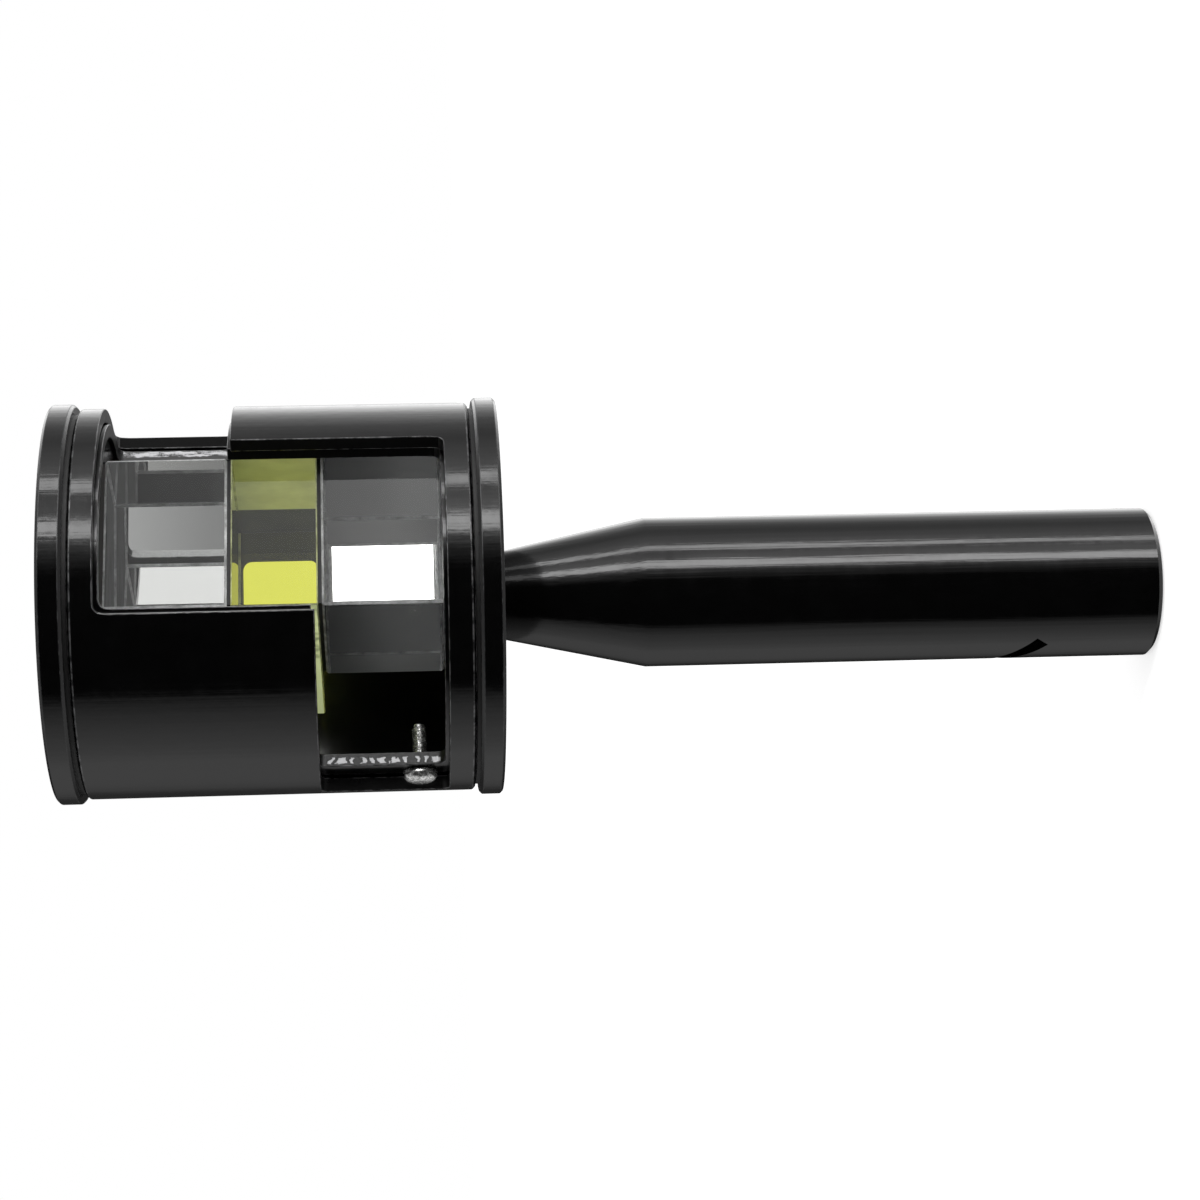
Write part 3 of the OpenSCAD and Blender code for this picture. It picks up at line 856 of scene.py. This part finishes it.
def glass_piece(name, node, outline, heights, bevel, faces, materials, divided_at=None):
    """A glass prism with ground bevels. faces pairs an outward direction with the material of the face that
    looks there. Where the glass is divided at a depth, the +X face behind it has the last material."""
    bm = bmesh.new()
    points = inset_outline([Vector(p) for p in outline], GLASS_SKIN)
    low, high = heights[0] + GLASS_SKIN, heights[1] - GLASS_SKIN
    bottom = [bm.verts.new((p.x, p.y, low)) for p in points]
    top = [bm.verts.new((p.x, p.y, high)) for p in points]
    bm.faces.new(bottom[::-1])
    bm.faces.new(top)
    for k in range(len(points)):
        m = (k + 1) % len(points)
        bm.faces.new([bottom[k], bottom[m], top[m], top[k]])
    bm.normal_update()
    normals = [f.normal.copy() for f in bm.faces]
    bmesh.ops.bevel(bm, geom=bm.edges[:], offset=bevel, segments=1, affect="EDGES", profile=0.5)
    bm.normal_update()
    for f in bm.faces:
        f.material_index = 1
        if any(f.normal.dot(n) > 0.9999 for n in normals):
            f.material_index = 0
            for direction, index in faces:
                if f.normal.dot(Vector(direction).normalized()) > 0.999:
                    f.material_index = index
    if divided_at is not None:
        geometry = bm.verts[:] + bm.edges[:] + bm.faces[:]
        bmesh.ops.bisect_plane(bm, geom=geometry, plane_co=(0, divided_at, 0), plane_no=(0, 1, 0))
        for f in bm.faces:
            if f.normal.x > 0.5 and f.calc_center_median().y > divided_at:
                f.material_index = len(materials) - 1
    piece = new_piece(name, bm, "instrument", node, materials)
    for polygon in piece.data.polygons:
        polygon.use_smooth = False


root2 = math.sqrt(2)
lower_outline = [
    (GLASS_LEFT, FRONT), (GLASS_RIGHT, FRONT), (GLASS_LEFT + root2 * PRISM_FACE, FRONT + PRISM_FACE),
    (GLASS_RIGHT, FRONT + root2 * PRISM_FACE), (GLASS_LEFT, FRONT + PRISM_FACE),
]
upper_outline = [(GLASS_LEFT + GLASS_RIGHT - x, y) for x, y in lower_outline][::-1]
sine, cosine = math.sin(SILVER_LEAN), math.cos(SILVER_LEAN)
prism_materials = [clear_glass, clear_ground, silvered, blackened, ground_end]
prism_ends = [((0, 0, 1), 4), ((0, 0, -1), 4)]
lower_faces = [((cosine, -sine, 0), 2), ((-sine, cosine, 0), 2), ((1, 1, 0), 3)] + prism_ends
upper_faces = [((-cosine, -sine, 0), 2), ((sine, cosine, 0), 2), ((-1, 1, 0), 3)] + prism_ends
glass_piece("lower_prism_glass", "lower_prism", lower_outline, LOWER_PRISM_Z, PRISM_BEVEL,
            lower_faces, prism_materials)
glass_piece("upper_prism_glass", "upper_prism", upper_outline, UPPER_PRISM_Z, PRISM_BEVEL,
            upper_faces, prism_materials)
block_outline = [
    (GLASS_LEFT, FRONT), (GLASS_RIGHT, FRONT), (GLASS_RIGHT, BLOCK_BACK), (GLASS_LEFT, BLOCK_BACK),
]
block_faces = [((1, 0, 0), 2), ((-1, 0, 0), 4), ((0, 1, 0), 3)]
block_materials = [tinted_glass, tinted_ground, tinted_side, tinted_rear, open_side_painted_glow, side_lacquer]
glass_piece("sight_block_glass", "sight_block", block_outline, BLOCK_Z, BLOCK_BEVEL,
            block_faces, block_materials, divided_at=LACQUER_FROM)


# Finishes of the CAD nodes that show as they are

finishes = {
    "handle_screw": bright_steel, "lock_washer": bright_steel, "stop_screw": bright_steel,
    "base_set_screws": bright_steel, "cap_set_screws": bright_steel,
    "lower_friction_ring": ring_plastic, "upper_friction_ring": ring_plastic,
    "seat_pad": pad_rubber, "clamp_pad": pad_rubber,
    "lower_separator": black_mask, "upper_separator": black_mask,
    "handle": handle_black, "base_flange": head_black, "top_cap": head_black,
    "body_tube": head_black, "shutter_sleeve": head_black,
    "lower_prism": clear_glass, "upper_prism": clear_glass, "sight_block": tinted_glass,
}
for node_name, material in finishes.items():
    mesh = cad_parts[node_name].data
    mesh.materials.clear()
    mesh.materials.append(material)


# Floor, light and camera

# The camera: its direction round the Z axis, its place in metres, and the directions of its axes
CAMERA_AZIMUTH = -115.5
CAMERA_PLACE = Vector((-0.14091, -0.28893, 0.08261))
CAMERA_RIGHT = Vector((-0.05099, -0.05457, -0.99721))
CAMERA_UP = Vector((0.89889, -0.43761, -0.02202))
CAMERA_BACK = Vector((-0.43519, -0.89751, 0.07137))
CAMERA_LENS = 89.87
CAMERA_SENSOR = 36.0

# The floor in metres, its paint, and what it adds for the camera alone so that it looks white
FLOOR_R = 3.0
FLOOR_Z = -0.0001
FLOOR_GREY = 0.86
FLOOR_LIFT = 0.6

bm = bmesh.new()
bmesh.ops.create_circle(bm, cap_ends=True, segments=96, radius=FLOOR_R)
mesh = bpy.data.meshes.new("floor")
bm.to_mesh(mesh)
bm.free()
floor = bpy.data.objects.new("floor", mesh)
bpy.context.scene.collection.objects.link(floor)
floor.location.z = FLOOR_Z
floor.visible_glossy = False
floor.visible_shadow = False
floor_material, tree, shader = node_material("floor_white")
g = Graph(tree)
shader.inputs["Base Color"].default_value = (FLOOR_GREY, FLOOR_GREY, FLOOR_GREY, 1.0)
shader.inputs["Roughness"].default_value = 0.9
shader.inputs["Specular IOR Level"].default_value = 0.0
path = g.node("ShaderNodeLightPath")
shader.inputs["Emission Color"].default_value = (1, 1, 1, 1)
g.link(g.times(path.outputs["Is Camera Ray"], FLOOR_LIFT), shader.inputs["Emission Strength"])
mesh.materials.append(floor_material)

# What the studio looks like round the Z axis: angle from the camera, brightness
STUDIO = [
    (-180, 0.03), (-166, 0.03), (-152, 0.06), (-140, 0.22), (-125, 0.42), (-106, 0.68), (-84, 0.6),
    (-70, 0.45), (-60, 0.25), (-54, 0.01), (18, 0.01), (28, 0.25), (36, 0.8), (46, 1.45), (56, 1.45),
    (64, 0.95), (80, 1.2), (88, 0.9), (106, 0.42), (122, 0.5), (138, 1.0), (150, 1.7), (164, 1.9),
    (173, 0.3), (180, 0.04),
]
STUDIO_TOP = 2.0
# Its brightness high overhead, and for the light that dull surfaces scatter
OVERHEAD = 0.45
DIFFUSE = 0.6
# How far the panel that the glass fronts mirror is brighter low down and darker higher up
PANEL_LOW = 0.12
PANEL_HIGH = 0.35
# What a ray through glass meets: the wall beside the object, the lit room over the camera and the ceiling
BESIDE_MOST = 0.88
LEFT_WALL = 2.6
ROOM = (0.10, 0.42)
CEILING = 3.2
world = bpy.data.worlds.new("studio")
bpy.context.scene.world = world
world.use_nodes = True
world.cycles.sampling_method = "NONE"
g = Graph(world.node_tree)
coords = g.node("ShaderNodeTexCoord")
apart = g.node("ShaderNodeSeparateXYZ")
g.link(coords.outputs["Generated"], apart.inputs[0])
turn = g.math("ARCTAN2", apart.outputs[1], apart.outputs[0])
turn = g.math("ADD", g.times(turn, 180 / math.pi), -CAMERA_AZIMUTH)
turn = g.math("WRAP", turn, 180.0, -180.0)
ramp = g.node("ShaderNodeValToRGB")
elements = ramp.color_ramp.elements
while len(elements) > 1:
    elements.remove(elements[-1])
for i, (angle, value) in enumerate(STUDIO):
    stop = elements[0] if i == 0 else elements.new((angle + 180) / 360)
    stop.position = (angle + 180) / 360
    stop.color = (value / STUDIO_TOP,) * 3 + (1,)
g.link(g.math("DIVIDE", g.math("ADD", turn, 180.0), 360.0), ramp.inputs[0])
slant = apart.outputs[2]
height = g.math("ABSOLUTE", slant)


def between(value, from_0, from_1, to_1, to_0):
    """1 between the middle two values, fading to 0 at the outer two."""
    return g.times(g.spread(value, from_0, from_1, 0.0, 1.0), g.spread(value, to_1, to_0, 1.0, 0.0))


def choose(factor, one, other):
    """one where the factor is 1, and other where it is 0."""
    return g.math("ADD", g.times(factor, one), g.times(g.math("SUBTRACT", 1.0, factor), other))


low_part = g.times(between(slant, -0.034, -0.024, 0.018, 0.030), PANEL_LOW)
high_part = g.times(between(slant, 0.045, 0.058, 0.10, 0.12), PANEL_HIGH)
change = g.times(between(turn, 40.0, 46.0, 58.0, 64.0), g.math("SUBTRACT", low_part, high_part))
sides_light = g.times(ramp.outputs[0], STUDIO_TOP, g.math("ADD", 1.0, change))
studio = choose(g.spread(height, 0.7, 0.95, 0.0, 1.0), OVERHEAD, sides_light)
# Behind the object the white backdrop shows through the glass
behind = g.spread(g.math("ABSOLUTE", turn), 150.0, 162.0, 0.0, 1.0)
room = g.times(g.spread(slant, 0.035, 0.095, *ROOM), between(turn, -75.0, -60.0, 12.0, 26.0))
ceiling = g.spread(height, 0.16, 0.26, 0.0, CEILING)
left_wall = g.times(between(turn, -140.0, -125.0, -72.0, -60.0), LEFT_WALL)
through = g.most(g.math("MINIMUM", studio, BESIDE_MOST), left_wall, behind, room, ceiling)
path = g.node("ShaderNodeLightPath")
reflected = choose(path.outputs["Is Glossy Ray"], studio, DIFFUSE)
level = choose(path.outputs["Is Transmission Ray"], through, reflected)
level = choose(path.outputs["Is Camera Ray"], 1.0, level)
background = world.node_tree.nodes["Background"]
background.inputs["Color"].default_value = (1, 1, 1, 1)
g.link(level, background.inputs["Strength"])

# The two strip lights, in metres
STRIP_DISTANCE = 0.75
STRIP_Z = 0.09
STRIP_LENGTH = 1.6


def strip_light(name, turn, width, radiance):
    """A tall narrow soft box beside the object, at an angle round the Z axis from the camera."""
    data = bpy.data.lights.new(name, "AREA")
    data.shape = "RECTANGLE"
    data.size = width
    data.size_y = STRIP_LENGTH
    data.energy = radiance * math.pi * width * STRIP_LENGTH
    light = bpy.data.objects.new(name, data)
    bpy.context.scene.collection.objects.link(light)
    a = math.radians(CAMERA_AZIMUTH + turn)
    back = Vector((math.cos(a), math.sin(a), 0))
    up = Vector((0, 0, 1))
    turned = Matrix((up.cross(back), up, back)).transposed().to_4x4()
    light.matrix_world = Matrix.Translation(back * STRIP_DISTANCE + up * STRIP_Z) @ turned
    light.visible_camera = False


strip_light("strip_high", turn=71.0, width=0.10, radiance=4.4)
strip_light("strip_near", turn=43.0, width=0.13, radiance=5.6)

scene = bpy.context.scene
scene.view_settings.view_transform = "Standard"
scene.cycles.max_bounces = 16
scene.cycles.glossy_bounces = 10
scene.cycles.transmission_bounces = 12

camera_data = bpy.data.cameras.new("camera")
camera_data.lens = CAMERA_LENS
camera_data.sensor_width = CAMERA_SENSOR
camera_data.clip_start = 0.01
camera = bpy.data.objects.new("camera", camera_data)
scene.collection.objects.link(camera)
camera_axes = Matrix((CAMERA_RIGHT, CAMERA_UP, CAMERA_BACK)).transposed().to_4x4()
camera.matrix_world = Matrix.Translation(CAMERA_PLACE) @ camera_axes
scene.camera = camera
